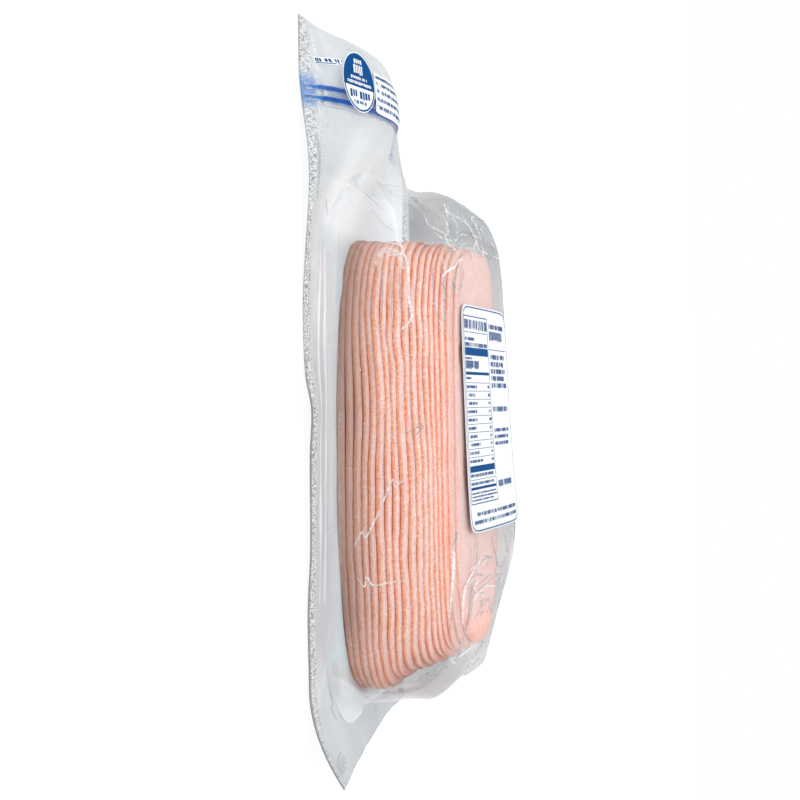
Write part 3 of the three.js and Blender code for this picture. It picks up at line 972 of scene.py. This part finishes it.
def makeHeaderFilm():
    x, y = gridOf((0.4 - halfWidth, halfWidth - 0.4, 170), (header["filmFrom"], halfLength - 0.4, 64))
    haze = (0.06 + 0.05 * wander(83, x / 10, y / 6)) * ease(84, 92, y)
    haze = haze * (1 - 0.8 * ease(103, 108, y) * ease(121, 117, y))
    gridPiece("header_film", x, y, headerFilmTop(x, y), headerFilmMaterial, "pocket_film",
              marks={"haze": haze, "frost": np.ones_like(x)}, shadow=False)


makeHeaderFilm()
print("zip and header made")


inkStep = 1.5  # mm, the longest straight stretch of a printed bar


# Patches of ink that lie on a surface.
class Ink(Patches):
    def __init__(self, surface, lift, lean=lambda x, y: (x, y)):
        super().__init__()
        self.surface, self.lift, self.lean = surface, lift, lean

    def grid(self, x, y):
        x, y = self.lean(x, y)
        self.add(x, y, self.surface(x, y) + self.lift)

    def bar(self, left, right, low, high):
        self.grid(*gridOf(*[(start, end, max(2, math.ceil((end - start) / inkStep) + 1))
                            for start, end in ((left, right), (low, high))]))

    # A filled oblong or ring, between two scales.
    def oblong(self, centre, half, squareness, inner, outer, start=0, end=math.tau):
        turn, scale = gridOf((start, end, 97), (inner, outer, 8))
        x, y = oblongPoint(turn, half[0], half[0], half[1], half[1], squareness)
        self.grid(centre[0] + x * scale, centre[1] + y * scale)

    # A row of small marks that stands for print.
    def marks(self, left, right, y, tall, wide=0.45):
        place = left
        while place < right - tall * wide:
            length = tall * wide * (1.2 + 1.2 * inkRandom.random())
            below = tall * (0.6 + 0.4 * inkRandom.random())
            self.bar(place, min(place + length, right), y - below, y + tall)
            place += length + tall * wide * (0.8 + (2.2 if inkRandom.random() < 0.2 else 0))


inkRandom = np.random.default_rng(5)


def makeHeaderPrint():
    lift = header["inkLift"]
    white, blue = Ink(headerFilmTop, lift), Ink(headerFilmTop, 2 * lift)
    badge, radius, line = header["badge"], header["badgeRadius"], header["divider"]
    white.oblong(badge, [radius + header["halo"]] * 2, 2, 0.02, 1)
    divider = math.asin((line - badge[1]) / radius)
    turn, share = gridOf((divider, math.pi - divider, 61), (0, 1, 16))
    blue.grid(badge[0] + radius * np.cos(turn), line + (badge[1] + radius * np.sin(turn) - line) * share)
    blue.oblong(badge, [radius] * 2, 2, 0.94, 1, math.pi - divider, math.tau + divider)
    for y, reach, tall in ((114.1, 7.0, 1.5), (111.2, 4.6, 0.7)):
        blue.marks(badge[0] - reach, badge[0] + reach, y, tall)
    left, right, low, high = header["box"]
    centre, half = ((left + right) / 2, (low + high) / 2), ((right - left) / 2, (high - low) / 2)
    white.oblong(centre, half, 9, 0.02, 1)
    for row in range(5):
        blue.marks(left + 2, right - 4 - 9 * (row == 4), high - 2.1 - row * 3.0, 0.75)
    left, right, y = header["strip"]
    white.oblong(((left + right) / 2, y), ((right - left) / 2 + 0.4, 1.3), 6, 0.02, 1)
    blue.marks(left, right, y + 0.15, 0.75, 0.3)
    blue.bar(left, right, y - 1.05, y - 0.7)
    white.lift = 3 * lift
    for y, reach, tall in ((126.6, 2.8, 0.85), (123.4, 3.4, 1.9), (120.3, 5.8, 0.6), (118.4, 8.4, 0.6)):
        white.marks(badge[0] - reach, badge[0] + reach, y, tall, 0.6 - 0.3 * (tall > 1.5))
    white.piece("header_print_white", whiteInk, "web_film")
    blue.piece("header_print_blue", blueInk, "web_film")


makeHeaderPrint()

label = {
    "stand": 0.75,  # mm above the pocket
    "inkLift": 0.07,
    "shift": (3.0, -0.4),  # mm, it sits a little off its modelled place
    "lean": 0.088,  # and a little askew: its long edges lean across the pouch
    "corner": 14,  # squareness of its outline
    "frameInset": 0.7,
    "frameWide": 0.4,
    "panel": (-18.5, 19.8, -42.6, 33.6),  # left, right, foot, head
    "rowFirst": 6.6,
    "rowStep": 3.35,
}
# Print on the label: place along the pouch, half height and, for marks, length, in mm.
labelBars = [(27.0, 0.12), (19.2, 1.6), (10.4, 0.6), (-28.3, 1.3), (-32.7, 0.1), (-36.2, 0.55)]
labelMarks = [
    (30.0, 2.0, 36), (24.2, 0.7, 15), (21.9, 0.9, 35), (16.4, 0.5, 10), (13.8, 1.7, 20), (8.4, 0.5, 8),
    (-31.0, 0.7, 34), (-34.3, 0.6, 33), (-38.2, 0.4, 35), (-39.6, 0.4, 36), (-41, 0.4, 30)]
sideMarks = [
    (30.4, 1.1), (26.4, 2.1), (17.6, 1.1), (14.6, 1.1), (11.6, 1.1), (8.6, 1.1), (5.6, 1.1),
    (-4.5, 1.2), (-13.4, 0.8), (-16.2, 0.8), (-19, 0.8), (-36, 1.4)]


def labelTop(x, y):
    return pocketTop(x, y) + label["stand"]


def makeLabel():
    low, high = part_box("back_label")
    centre = [(low[axis] + high[axis]) / 2 / mm + label["shift"][axis] for axis in (0, 1)]
    half = [(high[axis] - low[axis]) / 2 / mm for axis in (0, 1)]

    def lean(x, y):
        return x - label["lean"] * (y - centre[1]), y

    turn = np.linspace(0, math.tau, 160, endpoint=False)
    edgeX, edgeY = oblongPoint(turn, half[0], half[0], half[1], half[1], label["corner"])
    scale = np.r_[np.linspace(0.01, 1, 24), 1, 0.98][:, None]
    drop = np.r_[np.zeros(24), 0.25, 0.25][:, None]
    x, y = lean(centre[0] + edgeX * scale, centre[1] + edgeY * scale)
    gridPiece("back_label_paper", x, y, labelTop(x, y) - drop, labelPaper, "label_paper",
              ["back_label"], closed=True)

    blue = Ink(labelTop, label["inkLift"], lean)
    wide = label["frameWide"]
    frameHalf = [reach - label["frameInset"] for reach in half]
    blue.oblong(centre, frameHalf, label["corner"], 1 - wide / half[0], 1)
    left, right, foot, head = label["panel"]
    for edge in (head - wide, foot):
        blue.bar(left, right, edge, edge + wide)
    for edge in (left, right - wide):
        blue.bar(edge, edge + wide, foot, head)
    for y, tall in labelBars:
        blue.bar(left + 1, right - 1, y - tall, y + tall)
    for y, tall, length in labelMarks:
        blue.marks(left + 1.4, left + 1.4 + length, y, tall, 0.45 - 0.2 * (tall > 1.5))
    for row in range(10):
        y = label["rowFirst"] - row * label["rowStep"]
        blue.bar(left + 1, right - 1, y - 0.1, y + 0.1)
        start = left + 1.6 + 2 * (row in (1, 2, 6, 7))
        blue.marks(start, left + 13 + 8 * inkRandom.random(), y - 1.7, 0.65)
        blue.marks(right - 4.5, right - 1.5, y - 1.7, 0.65)
    blue.bar(right + 1, centre[0] + half[0] - 4, 20.6, 20.9)
    for y, tall in sideMarks:
        blue.marks(right + 3, centre[0] + half[0] - 6 - 6 * inkRandom.random(), y, tall)
    for y, start in ((-46.9, 7), (-50.1, 3)):
        blue.marks(left + start, centre[0] + half[0] - 6, y, 0.85)
    blue.piece("back_label_print", blueInk, "label_paper")


makeLabel()
print("label made")


studio = {
    "skyBehind": 1.0,  # strength of the sky along +X, behind the pouch
    "skyFront": 0.74,  # and along -X, on the camera's side
    "sun": 0.8,  # watts per square metre
    "sunAngle": 50,  # degrees, for soft shadows
    "sunFrom": (-400, 300, 900),  # mm
    "fill": 1.2,  # watts
    "fillSize": 600,  # mm
    "fillFrom": (-800, 250, 420),
    "floorHalf": 12000,
    "floorHeight": -0.2,
    "floor": "#606060",
    "floorGlow": 0.92,
}


# Matt floor that glows a little, so that it reads as bright, even ground.
def floorSurface(add):
    return add("BsdfPrincipled", {
        "Base Color": tone(studio["floor"]), "Roughness": 0.9, "IOR": 1.45,
        "Emission Color": tone("#FFFFFF"), "Emission Strength": studio["floorGlow"]})


def makeStudio():
    side = (-studio["floorHalf"], studio["floorHalf"], 9)
    x, y = gridOf(side, side)
    z = np.full_like(x, studio["floorHeight"])
    floor = gridPiece("floor", x, y, z, newMaterial("paleStudioFloor", floorSurface))
    world = bpy.data.worlds.new("studio")
    world.use_nodes = True
    bpy.context.scene.world = world
    world.node_tree.nodes.clear()
    add = partial(addNode, world.node_tree)
    direction = add("TexCoord", output="Generated")
    alongX = add("SeparateXYZ", [direction])
    strength = add("MapRange", [alongX, -0.7, 0.9, studio["skyFront"], studio["skyBehind"]])
    back = add("Background", {"Color": (1, 1, 1, 1), "Strength": strength})
    add("OutputWorld", {"Surface": back})
    sun = bpy.data.lights.new("sun", "SUN")
    sun.energy = studio["sun"]
    sun.angle = math.radians(studio["sunAngle"])
    fill = bpy.data.lights.new("fill", "AREA")
    fill.energy = studio["fill"]
    fill.size = studio["fillSize"] * mm
    for data, place in ((sun, studio["sunFrom"]), (fill, studio["fillFrom"])):
        lamp = newObject(data.name, data)
        lamp.location = Vector(place) * mm
        lamp.rotation_euler = Vector(place).to_track_quat("Z", "Y").to_euler()


makeStudio()
bpy.context.scene.view_settings.view_transform = "Standard"
print("studio made")
